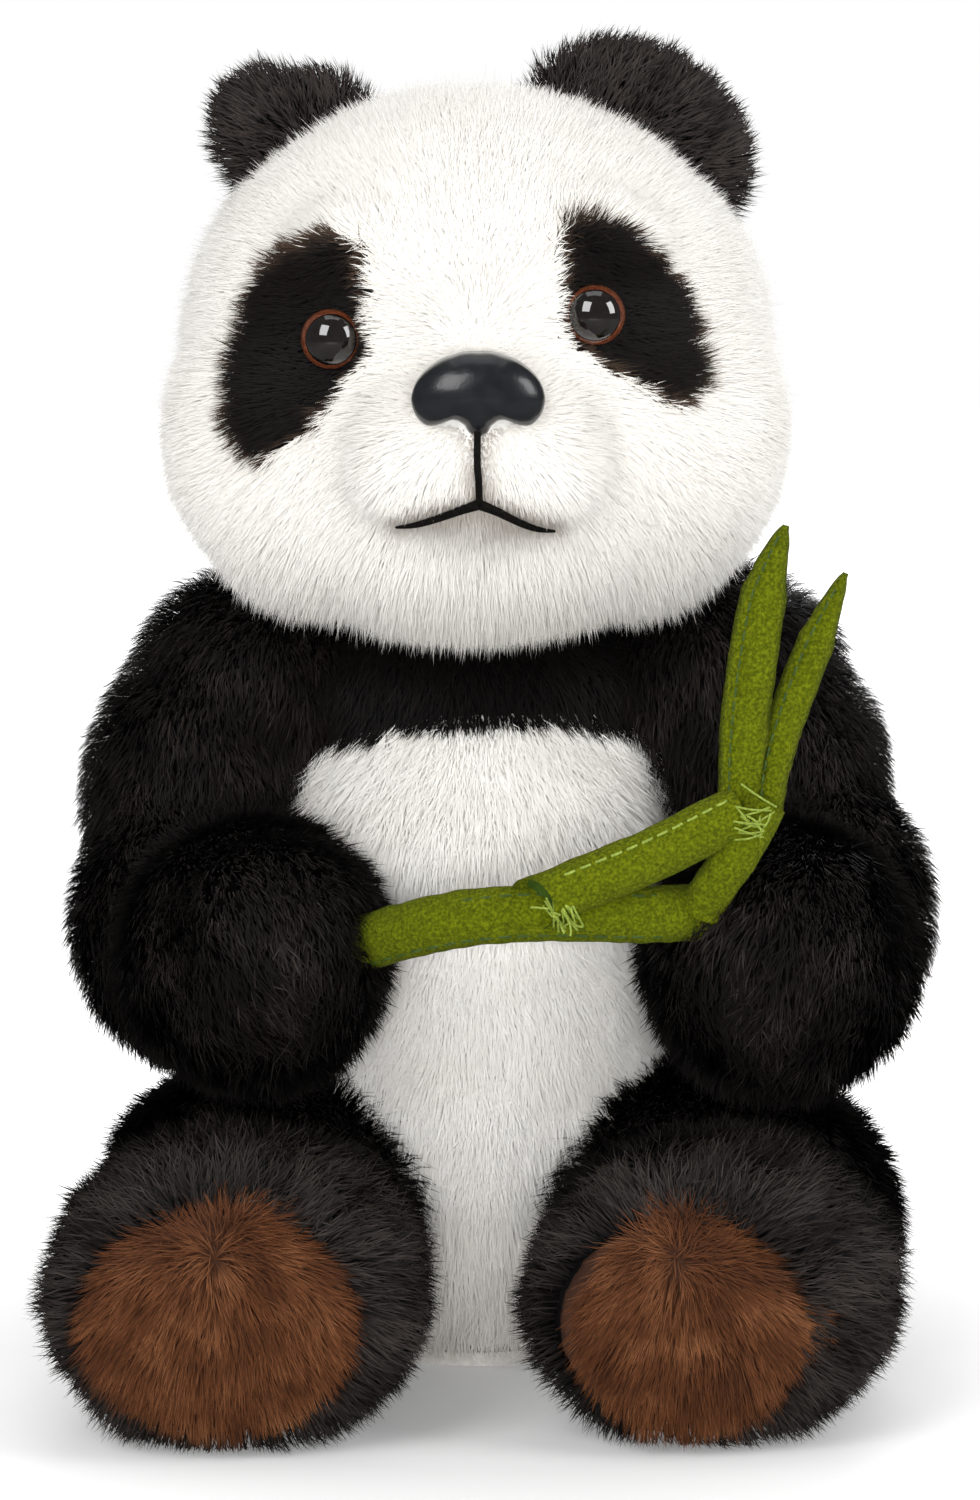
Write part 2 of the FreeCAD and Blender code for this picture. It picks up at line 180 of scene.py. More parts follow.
def ramp(tree, value, stops):
    """A colour ramp over a socket, from (place, colour) stops."""
    node = tree.nodes.new("ShaderNodeValToRGB")
    elements = node.color_ramp.elements
    while len(elements) < len(stops):
        elements.new(0.5)
    for element, (place, colour) in zip(elements, stops):
        element.position = place
        element.color = (*colour, 1)
    tree.links.new(value, node.inputs["Fac"])
    return node.outputs["Color"]


def pile_material(name, roots, tips, roughness=0.75, sheen=0.3, sheen_tint=(1, 1, 1), specular=0.25):
    """Fur: the UV layer holds a strand's tone across and the way from root to tip upwards."""
    material, shader, tree = new_material(name, roughness, sheen, sheen_tint, specular)
    uv = tree.nodes.new("ShaderNodeUVMap")
    uv.uv_map = "OFBake"
    split = tree.nodes.new("ShaderNodeSeparateXYZ")
    tree.links.new(uv.outputs["UV"], split.inputs["Vector"])
    mix = tree.nodes.new("ShaderNodeMix")
    mix.data_type = "RGBA"
    tree.links.new(split.outputs["Y"], mix.inputs["Factor"])
    tree.links.new(ramp(tree, split.outputs["X"], roots), mix.inputs["A"])
    tree.links.new(ramp(tree, split.outputs["X"], tips), mix.inputs["B"])
    tree.links.new(mix.outputs["Result"], shader.inputs["Base Color"])
    return material


def noise_material(name, stops, scale, roughness, bump=0.0, bump_scale=None, **shading):
    """A mottled surface: noise in object space through a colour ramp, with fine bump."""
    material, shader, tree = new_material(name, roughness, **shading)
    place = tree.nodes.new("ShaderNodeTexCoord")
    texture = tree.nodes.new("ShaderNodeTexNoise")
    texture.inputs["Scale"].default_value = scale
    texture.inputs["Detail"].default_value = 6
    tree.links.new(place.outputs["Object"], texture.inputs["Vector"])
    tree.links.new(ramp(tree, texture.outputs["Fac"], stops), shader.inputs["Base Color"])
    if bump:
        fine = tree.nodes.new("ShaderNodeTexNoise")
        fine.inputs["Scale"].default_value = bump_scale or scale * 2
        fine.inputs["Detail"].default_value = 4
        tree.links.new(place.outputs["Object"], fine.inputs["Vector"])
        raised = tree.nodes.new("ShaderNodeBump")
        raised.inputs["Strength"].default_value = bump
        raised.inputs["Distance"].default_value = 0.0006
        tree.links.new(fine.outputs["Fac"], raised.inputs["Height"])
        tree.links.new(raised.outputs["Normal"], shader.inputs["Normal"])
    return material


def make_materials():
    white_roots = [(0.0, (0.36, 0.32, 0.28)), (0.5, (0.80, 0.775, 0.73)), (1.0, (0.88, 0.87, 0.84))]
    white_tips = [(0.0, (0.42, 0.38, 0.34)), (0.5, (0.865, 0.84, 0.79)), (1.0, (0.92, 0.905, 0.875))]
    black_roots = [(0.0, (0.002, 0.002, 0.002)), (1.0, (0.004, 0.003, 0.003))]
    # Painted sheen: the black pile's tips are a lighter charcoal than its roots, for the light the fibre tips
    # catch.
    black_tips_painted_sheen = [(0.0, (0.003, 0.002, 0.002)), (0.5, (0.009, 0.007, 0.006)), (1.0, (0.065, 0.052, 0.046))]
    patch_tips = [(0.0, (0.005, 0.004, 0.004)), (0.5, (0.013, 0.010, 0.008)), (1.0, (0.10, 0.062, 0.040))]
    brown_roots = [(0.0, (0.025, 0.008, 0.003)), (1.0, (0.05, 0.017, 0.006))]
    brown_tips = [(0.0, (0.065, 0.022, 0.008)), (0.5, (0.135, 0.044, 0.014)), (1.0, (0.32, 0.130, 0.052))]
    dark = {"sheen": 0.03, "sheen_tint": (0.75, 0.68, 0.65), "roughness": 0.6, "specular": 0.15}
    return {
        "white": pile_material("white_pile", white_roots, white_tips, sheen=0.15),
        "black": pile_material("black_pile", black_roots, black_tips_painted_sheen, **dark),
        "patch": pile_material("patch_pile", black_roots, patch_tips, **dark),
        "brown": pile_material("brown_pile", brown_roots, brown_tips, roughness=0.6, sheen=0.05,
                               sheen_tint=(1.0, 0.75, 0.6), specular=0.15),
        "white_skin": noise_material(
            "white_backing", [(0.3, (0.82, 0.80, 0.76)), (0.7, (0.88, 0.87, 0.84))], 90, 0.9, 0.3, 1500
        ),
        "black_skin": noise_material(
            "black_backing", [(0.3, (0.002, 0.002, 0.002)), (0.7, (0.005, 0.004, 0.004))], 90, 0.9, 0.3, 1500,
            specular=0.1,
        ),
        "brown_skin": noise_material(
            "brown_backing", [(0.3, (0.03, 0.010, 0.004)), (0.7, (0.05, 0.018, 0.007))], 90, 0.9, 0.3, 1500
        ),
        "felt": noise_material(
            "green_felt",
            [(0.30, (0.046, 0.060, 0.0015)), (0.5, (0.090, 0.112, 0.0025)), (0.70, (0.165, 0.195, 0.005))],
            1500, 0.9, 0.9, 3200, sheen=0.03, sheen_tint=(0.8, 1.0, 0.4), specular=0.06,
        ),
        # Painted shade: a darker felt for the open ends of the tubes, where shade falls inside.
        "felt_painted_shade": noise_material(
            "green_felt_painted_shade_inside",
            [(0.3, (0.020, 0.045, 0.004)), (0.7, (0.060, 0.115, 0.010))], 420, 0.9, 0.8, 2600, specular=0.2,
        ),
        "green_thread": noise_material(
            "green_thread", [(0.3, (0.15, 0.21, 0.02)), (0.7, (0.32, 0.41, 0.06))], 1500, 0.5, 0.4, 4000
        ),
        "edge_thread": noise_material(
            "dark_green_thread", [(0.3, (0.020, 0.05, 0.005)), (0.7, (0.06, 0.11, 0.012))],
            1500, 0.6, 0.4, 4000
        ),
        "black_thread": noise_material(
            "black_thread", [(0.3, (0.002, 0.002, 0.002)), (0.7, (0.008, 0.007, 0.006))],
            1500, 0.8, 0.6, 4000, specular=0.1,
        ),
        "pupil": noise_material(
            "eye_pupil", [(0.3, (0.003, 0.002, 0.002)), (0.7, (0.008, 0.005, 0.004))],
            500, 0.06, coat=1.0, specular=1.0
        ),
        "iris": noise_material(
            "eye_iris", [(0.3, (0.075, 0.018, 0.008)), (0.7, (0.15, 0.044, 0.018))], 900, 0.12, coat=0.6
        ),
        "nose": noise_material(
            "nose_plastic", [(0.3, (0.007, 0.008, 0.010)), (0.7, (0.012, 0.013, 0.015))], 350, 0.25,
            0.10, 1800, coat=0.2,
        ),
        "seat": noise_material(
            "seat_cloth", [(0.3, (0.60, 0.58, 0.54)), (0.7, (0.76, 0.74, 0.70))], 700, 0.9, 0.7, 2500
        ),
    }


# ---------------------------------------------------------------- skins


def new_object(name, mesh, *materials):
    obj = bpy.data.objects.new(name, mesh)
    bpy.context.scene.collection.objects.link(obj)
    for material in materials:
        mesh.materials.append(material)
    return obj


def attach(piece, slot, body, *nodes):
    """Puts a piece on the body it rides on and hides the CAD nodes it takes the place of. slot, what the
    piece is made of, is not used.
    """
    if nodes:
        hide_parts(*nodes)
    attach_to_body(piece, body)


def mesh_object(name, bm, *materials):
    """The finished piece from a bmesh in metres, in the row frame."""
    mesh = bpy.data.meshes.new(name)
    bm.to_mesh(mesh)
    bm.free()
    return new_object(name, mesh, *materials)


def to_row_frame(bm):
    """Takes a bmesh from millimetres in the toy's frame to metres in the row frame."""
    bmesh.ops.transform(bm, matrix=Matrix.Translation(ORIGIN) @ Matrix.Scale(MM, 4), verts=bm.verts)


def band(bm, rings):
    """Smooth quads between each ring of vertices and the next."""
    for low, high in zip(rings, rings[1:]):
        for i in range(len(low)):
            after = (i + 1) % len(low)
            bm.faces.new((low[i], low[after], high[after], high[i])).smooth = True


def add_ball(bm, centre, radii, turn=(0, 0, 0)):
    """An ellipsoid in millimetres, turned by degrees about X, Y and Z."""
    spin = Matrix.Rotation(math.radians(turn[2]), 4, "Z") @ Matrix.Rotation(math.radians(turn[1]), 4, "Y")
    spin = spin @ Matrix.Rotation(math.radians(turn[0]), 4, "X")
    place = Matrix.Translation(Vector(centre)) @ spin @ Matrix.Diagonal((*radii, 1))
    bmesh.ops.create_icosphere(bm, subdivisions=4, radius=1, matrix=place)


def sculpt(balls, voxel=2.6, smooth=10, floor=None, lumps=0.0, swell=0.0):
    """One smooth closed skin over overlapping balls, as (vertices in mm, triangles).

    It moves out by swell, and unevenly by up to lumps, as stuffing pushes it; then nothing
    of it stays below floor."""
    bm = bmesh.new()
    for ball in balls:
        add_ball(bm, *ball)
    mesh = bpy.data.meshes.new("clay")
    bm.to_mesh(mesh)
    bm.free()
    clay = new_object("clay", mesh)
    remesh = clay.modifiers.new("remesh", "REMESH")
    remesh.mode = "VOXEL"
    remesh.voxel_size = voxel
    soften = clay.modifiers.new("soften", "SMOOTH")
    soften.factor = 0.5
    soften.iterations = smooth
    clay.modifiers.new("triangles", "TRIANGULATE")
    graph = bpy.context.evaluated_depsgraph_get()
    made = bpy.data.meshes.new_from_object(clay.evaluated_get(graph))
    points = np.empty(len(made.vertices) * 3)
    made.vertices.foreach_get("co", points)
    corners = np.empty(len(made.polygons) * 3, np.int64)
    made.polygons.foreach_get("vertices", corners)
    bpy.data.objects.remove(clay)
    bpy.data.meshes.remove(mesh)
    bpy.data.meshes.remove(made)
    points, corners = points.reshape(-1, 3), corners.reshape(-1, 3)
    if lumps or swell:
        uneven = wander(points, 15.0, 23)[:, :1] * 0.7 + wander(points, 7.0, 24)[:, :1] * 0.3
        points = points + vertex_normals(points, corners) * (swell + lumps * uneven)
    if floor is not None:
        points[:, 2] = np.maximum(points[:, 2], floor)
    return points, corners


def vertex_normals(points, triangles):
    a, b, c = (points[triangles[:, i]] for i in range(3))
    facing = np.cross(b - a, c - a)
    normals = np.zeros_like(points)
    for i in range(3):
        np.add.at(normals, triangles[:, i], facing)
    return unit(normals)


def unit(vectors):
    return vectors / np.maximum(np.linalg.norm(vectors, axis=-1, keepdims=True), 1e-9)


def skin_object(name, skin, material, inset=0.0):
    """The skin as a Blender piece, moved in a little so that the pile covers it."""
    points, triangles = skin
    points = points - vertex_normals(points, triangles) * inset
    mesh = bpy.data.meshes.new(name)
    mesh.from_pydata(to_row(points).tolist(), [], triangles.tolist())
    mesh.polygons.foreach_set("use_smooth", [True] * len(mesh.polygons))
    mesh.update()
    return new_object(name, mesh, material)


def padded_skin(name, skin, material, inset, fill, slot, body, *nodes):
    """A stuffed skin, which takes the place of its CAD solids."""
    piece = skin_object(name, skin, materials[material], inset)
    attach(piece, slot, body, *nodes)


def cloth_skin(name, skin, inset, slot, body, *nodes):
    """Black cloth laid on part of a skin, under its pile."""
    attach(skin_object(name, skin, materials["black_skin"], inset), slot, body, *nodes)


def wander(points, size, seed):
    """Smooth noise vectors, about -1 to 1, over points in mm. size is the width of a swirl."""
    offset = Vector((seed * 17.3, seed * 5.1, seed * 9.7))
    return np.array([noise.noise_vector(Vector(p) / size + offset) for p in points.tolist()])


# ---------------------------------------------------------------- pile


class Fur:
    """How the pile of a region looks: strands per mm2, length and width in mm, and its lie."""

    def __init__(self, density, length, width, rise, clump, clump_size, swirl=0.35, droop=0.25, bent=True):
        self.density = density
        self.length = length
        self.width = width
        self.rise = rise  # 0 lies flat, 1 stands up
        self.clump = clump  # 0 to 1: how far tips are drawn to their tuft
        self.clump_size = clump_size  # mm
        self.swirl = swirl
        self.droop = droop
        self.bent = bent  # two-part strands, otherwise straight ones


def scatter(skin, density, rng, thinned=None):
    """Random roots over a skin: places, normals. thinned gives the share kept at a place."""
    points, triangles = skin
    normals = vertex_normals(points, triangles)
    a, b, c = (points[triangles[:, i]] for i in range(3))
    areas = np.linalg.norm(np.cross(b - a, c - a), axis=1) / 2
    if thinned is not None:
        areas = areas * thinned(points[triangles].mean(axis=1))
    count = int(areas.sum() * density)
    chosen = rng.choice(len(triangles), size=count, p=areas / areas.sum())
    u, v = rng.random(count), rng.random(count)
    over = u + v > 1
    u[over], v[over] = 1 - u[over], 1 - v[over]
    weights = np.stack([1 - u - v, u, v], axis=1)[:, :, None]
    corner = triangles[chosen]
    places = (points[corner] * weights).sum(axis=1)
    return places, unit((normals[corner] * weights).sum(axis=1))


def tuft_centres(roots, size, rng):
    """For each root, the root at the middle of its tuft."""
    cell = np.floor(roots / size).astype(np.int64)
    _, first = np.unique(cell, axis=0, return_index=True)
    tree = kdtree.KDTree(len(first))
    jitter = rng.normal(0, size * 0.2, (len(first), 3))
    middles = roots[first] + jitter
    for i, place in enumerate(middles.tolist()):
        tree.insert(place, i)
    tree.balance()
    nearest = [tree.find(p)[1] for p in roots.tolist()]
    return middles[nearest], np.array(nearest)


def grow(roots, normals, comb, fur, rng, length=None, seed=1):
    """Strand shapes from roots, as (count, 5 or 3, 3) points of a tapering ribbon."""
    count = len(roots)
    swirl = wander(roots, 9.0, seed) * fur.swirl
    fine = rng.normal(0, 0.22, (count, 3))
    lie = comb + swirl + fine
    lie -= (lie * normals).sum(axis=1, keepdims=True) * normals
    lie = unit(lie)
    rise = np.clip(fur.rise + rng.normal(0, 0.10, count), 0.05, 1.0)[:, None]
    long = (fur.length if length is None else length) * rng.uniform(0.75, 1.12, count)
    long = np.asarray(long)[:, None]
    middle_way = unit(normals * (rise + 0.25) + lie * (1 - rise))
    tip_way = unit(normals * rise * 0.75 + lie * (1.1 - rise) + np.array([0, 0, -fur.droop]) * 0.5)
    centres, tuft = tuft_centres(roots, fur.clump_size, rng)
    away = (centres - roots) * fur.clump
    tuft_lift = rng.uniform(0.82, 1.15, tuft.max() + 1)[tuft][:, None]
    middle = roots + middle_way * long * 0.5 * tuft_lift + away * 0.35
    tip = middle + tip_way * long * 0.5 * tuft_lift + away * 0.65
    along = unit(tip - roots)
    across = unit(np.cross(along, normals) + rng.normal(0, 0.12, (count, 3)))
    wide = fur.width * rng.uniform(0.7, 1.3, count)[:, None] * 0.5
    sunk = roots - normals * 0.4
    if not fur.bent:
        return np.stack([sunk - across * wide, sunk + across * wide, tip], axis=1)
    half = across * wide * 0.85
    return np.stack([sunk - across * wide, sunk + across * wide, middle - half, middle + half, tip], axis=1)


def pile_object(name, strands, normals, tone, material, slot, body, *nodes):
    """One mesh of ribbons. The UV layer holds tone and the way up the strand."""
    count, per_strand = strands.shape[:2]
    if per_strand == 5:
        order, face_starts = [0, 1, 3, 2, 2, 3, 4], [0, 4]
        up, edge = [0.0, 0.0, 0.5, 0.5, 0.5, 0.5, 1.0], [-1, 1, 1, -1, -1, 1, 0]
    else:
        order, face_starts = [0, 1, 2], [0]
        up, edge = [0.0, 0.0, 1.0], [-1, 1, 0]
    strand = np.arange(count, dtype=np.int32)[:, None]
    mesh = bpy.data.meshes.new(name)
    mesh.vertices.add(count * per_strand)
    mesh.vertices.foreach_set("co", to_row(strands.reshape(-1, 3)).ravel())
    mesh.loops.add(count * len(order))
    mesh.loops.foreach_set("vertex_index", (strand * per_strand + np.array(order, np.int32)).ravel())
    mesh.polygons.add(count * len(face_starts))
    starts = strand * len(order) + np.array(face_starts, np.int32)
    mesh.polygons.foreach_set("loop_start", starts.ravel())
    mesh.polygons.foreach_set("use_smooth", np.ones(count * len(face_starts), bool))
    mesh.update(calc_edges=True)
    uv = np.empty((count, len(order), 2))
    uv[:, :, 0] = np.clip(tone, 0.01, 0.99)[:, None] + np.array(edge) * 0.002
    uv[:, :, 1] = up
    layer = mesh.uv_layers.new(name="OFBake")
    layer.data.foreach_set("uv", uv.ravel())
    facing = unit(np.cross(strands[:, 1] - strands[:, 0], strands[:, -1] - strands[:, 0]))
    towards = np.sign((facing * normals).sum(axis=1, keepdims=True))
    shade = unit(normals * 0.9 + facing * towards * 0.16)
    mesh.normals_split_custom_set_from_vertices(np.repeat(shade, per_strand, axis=0).tolist())
    attach(new_object(name, mesh, materials[material]), slot, body, *nodes)


noise.seed_set(20)  # without it, noise_vector starts from the clock
materials = make_materials()
make_camera()
make_studio()
PLUSH = {
    "face": Fur(4.4, 5.4, 0.36, 0.36, 0.16, 1.6, swirl=0.22, bent=False),
    "ear": Fur(3.0, 6.0, 0.36, 0.62, 0.30, 1.8),
    "belly": Fur(3.0, 7.5, 0.38, 0.32, 0.24, 2.2, droop=0.5, bent=False),
    "limb": Fur(2.6, 7.5, 0.38, 0.52, 0.42, 2.2, swirl=0.55),
    "foot": Fur(2.7, 8.0, 0.38, 0.58, 0.42, 2.4, swirl=0.45),
    "sole": Fur(4.2, 6.5, 0.34, 0.42, 0.45, 2.2, swirl=0.45, bent=False),
}


def on_skin(tree, x, z):
    """The front of a skin at x, z, and the way it faces, in mm."""
    hit, normal, _, _ = tree.ray_cast(Vector((x, -300, z)), Vector((0, 1, 0)))
    return hit, normal


def skin_tree(skin):
    points, triangles = skin
    return BVHTree.FromPolygons(points.tolist(), triangles.tolist())


def lean_frame(x, z, centre, lean):
    """Offsets from a centre on the face, up along a leaning line and across it."""
    a = math.radians(lean)
    dx, dz = x - centre[0], z - centre[1]
    return dx * math.sin(a) + dz * math.cos(a), dx * math.cos(a) - dz * math.sin(a)


def fade(value, low, high):
    """0 below low, 1 above high, smooth between."""
    t = np.clip((value - low) / (high - low), 0, 1)
    return t * t * (3 - 2 * t)


# ---------------------------------------------------------------- head

EYES = {"right": (-29.8, 224.6), "left": (24.6, 229.6)}  # across and up, mm
EYE_R = 6.2
EYE_RIMS = {"right": 2.6, "left": 1.6}  # dark fur at least this far out round the eye
PATCHES = {  # middle, half height, half width, lean: dark fur round each eye
    "right": ((-36.5, 223.0), 24.8, 12.8, 25.0),
    "left": ((32.0, 230.0), 22.0, 11.2, -36.0),
}
EYE_DOME = 4.4
PUPIL_R = 5.3
NOSE = (0.6, 214.4)
NOSE_HALF = (14.2, 8.6)
NOSE_DEPTH = 6.4
NOSE_EDGE = [  # half of the nose's edge, from the top round its left side to the point below
    (0, 8.5), (5.2, 7.8), (9.6, 5.7), (12.6, 2.6), (13.7, -0.8), (12.9, -3.8), (11.0, -6.0), (9.2, -6.5),
    (7.4, -5.7), (5.9, -4.9), (4.1, -5.0), (2.6, -6.2), (1.8, -8.0), (0, -8.8),
]
MOUTH_JOIN = (0.8, 193.3)
MOUTH_CORNERS = ((-15.6, 188.4), (15.6, 187.4))
MOUTH_THREAD_R = 0.72
FACE_FRONT = -14.0  # the eye patches lie in front of this Y
MUZZLE_FRONT = -40.0  # the mouth lies in front of this Y
NOSE_FRONT = -50.0  # the nose lies in front of this Y
HEAD_PANEL_Y = -2.0  # the head's back panel starts here
WASHER_R = 7.0
WASHER_THICK = 1.5
HEAD_BALLS = [
    ((0, -4, 221), (61, 57, 53)),
    ((-30, -20, 203), (35, 36, 36)),
    ((30, -20, 203), (35, 36, 36)),
    ((0, -26, 192), (46, 38, 29)),
    ((0.5, -54, 203), (26, 24, 20)),
    ((-10, -60, 199), (15, 16, 13)),
    ((10, -60, 199), (15, 16, 13)),
    ((0, -48, 222), (15, 20, 17)),
    ((-24, -42, 243), (15, 14, 9), (0, -14, 0)),
    ((24, -42, 245), (15, 14, 9), (0, 14, 0)),
]


def patch_depth(side, x, z):
    """How far inside a dark eye patch a place is: 0 at its edge, 1 in the middle, negative outside."""
    centre, tall, wide, lean = PATCHES[side]
    up, across = lean_frame(x, z, centre, lean)
    width = wide * (1 + 0.15 * up / tall)
    oval = 1 - np.sqrt((up / tall) ** 2 + (across / width) ** 2)
    ring = 1 - np.hypot(x - EYES[side][0], z - EYES[side][1]) / (EYE_R + EYE_RIMS[side])
    return np.maximum(oval, ring)


def line_distance(x, z, start, end):
    start, end = np.array(start), np.array(end)
    way = end - start
    place = np.stack([x, z], axis=1) - start
    t = np.clip((place @ way) / (way @ way), 0, 1)[:, None]
    return np.linalg.norm(place - t * way, axis=1)


def face_pile(skin, rng):
    """Every strand of the head: its shape, its tone and the cloth it belongs to."""
    fur = PLUSH["face"]
    roots, normals = scatter(skin, fur.density, rng, lambda m: 1 - 0.6 * fade(m[:, 1], 0, 12))
    x, y, z = roots.T
    front = y < FACE_FRONT
    wobble = wander(roots, 5.0, 7)
    depth = {s: patch_depth(s, x + wobble[:, 0] * 2.0, z + wobble[:, 2] * 2.0) for s in SIDES}
    keep = np.ones(len(roots), bool)
    near_eye = np.full(len(roots), 99.0)
    for side, (eye_x, eye_z) in EYES.items():
        gap = np.where(front, np.hypot(x - eye_x, z - eye_z), 99)
        near_eye = np.minimum(near_eye, gap)
        keep &= gap > EYE_R - 2.2
    nose_gap = np.hypot((x - NOSE[0]) / NOSE_HALF[0], (z - NOSE[1]) / NOSE_HALF[1])
    nose_gap = np.where(y < NOSE_FRONT, nose_gap, 99)
    keep &= nose_gap > 0.80
    mouth_gap = np.minimum(
        line_distance(x, z, MOUTH_JOIN, MOUTH_CORNERS[0]), line_distance(x, z, MOUTH_JOIN, MOUTH_CORNERS[1])
    )
    mouth_gap = np.minimum(mouth_gap, line_distance(x, z, NOSE, MOUTH_JOIN))
    mouth_gap = np.where(y < MUZZLE_FRONT, mouth_gap, 99)

    back = fade(y, -20, 12)
    chin = fade(-z, -186, -168) * (1 - back * 0.5)
    length = fur.length + 4.0 * back + 4.0 * chin
    length *= 0.55 + 0.45 * fade(near_eye, EYE_R - 1, EYE_R + 8)
    length *= 0.40 + 0.60 * fade(nose_gap, 0.9, 2.2)
    length *= 0.50 + 0.50 * fade(mouth_gap, 1.0, 9.0)

    comb = unit(roots - np.array([0.5, -100, 216])) + np.array([0, 0, -0.35])
    comb += np.array([0, 0, -1.0]) * chin[:, None]
    shapes = grow(roots, normals, comb, fur, rng, length=length, seed=2)

    grain = wander(roots, 14.0, 3)[:, 0] * 0.14 + rng.normal(0, 0.06, len(roots))
    # Painted shade: the tone darkens along the mouth's stitches, round the nose and under the mouth, where
    # shade falls in the creases.
    painted_mouth_shade = 0.62 * np.exp(-((mouth_gap / 3.6) ** 2)) + 0.35 * np.exp(-((nose_gap / 1.15) ** 6))
    painted_shade_under_mouth = np.exp(-(((x - 0.5) / 15) ** 2) - ((z - 187) / 4.5) ** 2) * (y < MUZZLE_FRONT)
    edge = np.maximum(*(np.exp(-((np.minimum(d, 0) / 0.14) ** 2)) * front for d in depth.values()))
    tone = 0.70 + grain - painted_mouth_shade - 0.42 * painted_shade_under_mouth - 0.22 * edge - 0.10 * chin
    cloth = np.full(len(roots), "white")
    for side in SIDES:
        inside = front & (depth[side] + rng.normal(0, 0.03, len(roots)) > 0)
        cloth[inside] = side
        tone[inside] = (0.25 + 0.75 * (1 - fade(depth[side], 0.0, 0.22)) + grain * 0.8)[inside]
    return shapes[keep], normals[keep], tone[keep], cloth[keep], (y > HEAD_PANEL_Y)[keep]


def part_skin(skin, chosen):
    """The triangles of a skin whose middles are chosen, with their own vertices."""
    points, triangles = skin
    kept = triangles[chosen(points[triangles].mean(axis=1))]
    used, renumbered = np.unique(kept, return_inverse=True)
    return points[used], renumbered.reshape(-1, 3)


def make_head(rng):
    skin = sculpt(HEAD_BALLS, 2.6, 14, lumps=0.5, swell=0.6)
    tree = skin_tree(skin)
    padded_skin("head_skin", skin, "white_skin", 0.8, 0.9, "white_plush", "head",
                "face_cover", "head_back_cover", "head_stuffing")
    shapes, normals, tone, cloth, behind = face_pile(skin, rng)
    for name, chosen in (("face_pile", ~behind), ("head_back_pile", behind)):
        these = (cloth == "white") & chosen
        pile_object(name, shapes[these], normals[these], tone[these], "white", "white_plush", "head")
    for side in SIDES:
        these = cloth == side
        pile_object("eye_patch_pile_" + side, shapes[these], normals[these], tone[these], "patch",
                    "patch_plush", "head", "eye_patch_" + side)
        in_patch = lambda m: (patch_depth(side, m[:, 0], m[:, 2]) > 0.03) & (m[:, 1] < FACE_FRONT)
        backing = part_skin(skin, in_patch)
        cloth_skin("eye_patch_cloth_" + side, backing, 0.55, "patch_plush", "head")
    make_eyes(tree)
    make_nose(tree)
    make_mouth(tree)
    make_ears(rng)


def lathe(name, profile, place, out, material, steps=64):
    """A turned shape about the way it faces, from (radius, height) rings in mm."""
    bm = bmesh.new()
    rings = []
    for radius, height in profile:
        angles = [2 * math.pi * i / steps for i in range(steps)]
        rings.append([bm.verts.new((radius * math.cos(a), radius * math.sin(a), height)) for a in angles])
    band(bm, rings)
    for ring, order in ((rings[0], -1), (rings[-1], 1)):
        bm.faces.new(ring[::order]).smooth = True
    turn = Vector(out).to_track_quat("Z", "Y").to_matrix().to_4x4()
    bmesh.ops.transform(bm, matrix=Matrix.Translation(Vector(place)) @ turn, verts=bm.verts)
    to_row_frame(bm)
    return mesh_object(name, bm, material)


def dome_rings(radius, height, rim, steps=16):
    """Rings of a cap of a ball, from its rim to its top. rim is the radius of the cap."""
    ball_r = (radius**2 + height**2) / (2 * height)
    widest = math.asin(rim / ball_r)
    angles = [widest * (1 - step / steps) for step in range(steps)] + [0.03]
    return [(ball_r * math.sin(a), ball_r * math.cos(a) - ball_r + height) for a in angles]


def make_eyes(tree):
    """A brown iris dome under a black pupil cap, both glossy."""
    for side, (x, z) in EYES.items():
        spot, normal = on_skin(tree, x, z)
        out = (normal * 0.35 + Vector((0, -1, 0.04))).normalized()
        base = spot + out * 1.5
        rings = [(EYE_R * 0.9, -4.5)] + dome_rings(EYE_R, EYE_DOME, EYE_R)
        eye = lathe("eye_" + side + "_dome", rings, base, out, materials["iris"])
        attach(eye, "eye_plastic", "head", "eye_" + side)
        ball_r = (EYE_R**2 + EYE_DOME**2) / (2 * EYE_DOME)
        middle = base - out * (ball_r - EYE_DOME)
        gaze = (out + Vector((-SIDES[side] * 0.10, 0, -0.03))).normalized()
        rings = [(r, h + 0.06) for r, h in dome_rings(EYE_R, EYE_DOME, PUPIL_R)]
        pupil = lathe("pupil_" + side, rings, middle + gaze * (ball_r - EYE_DOME), gaze, materials["pupil"])
        attach(pupil, "eye_plastic", "head")
        rings = [(WASHER_R, -WASHER_THICK), (WASHER_R, 0.0)]
        washer = lathe("washer_" + side, rings, spot - normal * 3.0, normal, materials["seat"])
        attach(washer, "washer_plastic", "head", "eye_washer_" + side)


def nose_outline(angle):
    """The edge of the nose seen from the front, as a distance from its middle in mm."""
    places = np.array(NOSE_EDGE + [(-x, z) for x, z in NOSE_EDGE[-2:0:-1]])
    turns = np.unwrap(np.arctan2(places[:, 1], places[:, 0]), period=2 * math.pi)
    reach = np.hypot(places[:, 0], places[:, 1])
    return np.interp(angle, turns[::-1], reach[::-1], period=2 * math.pi)


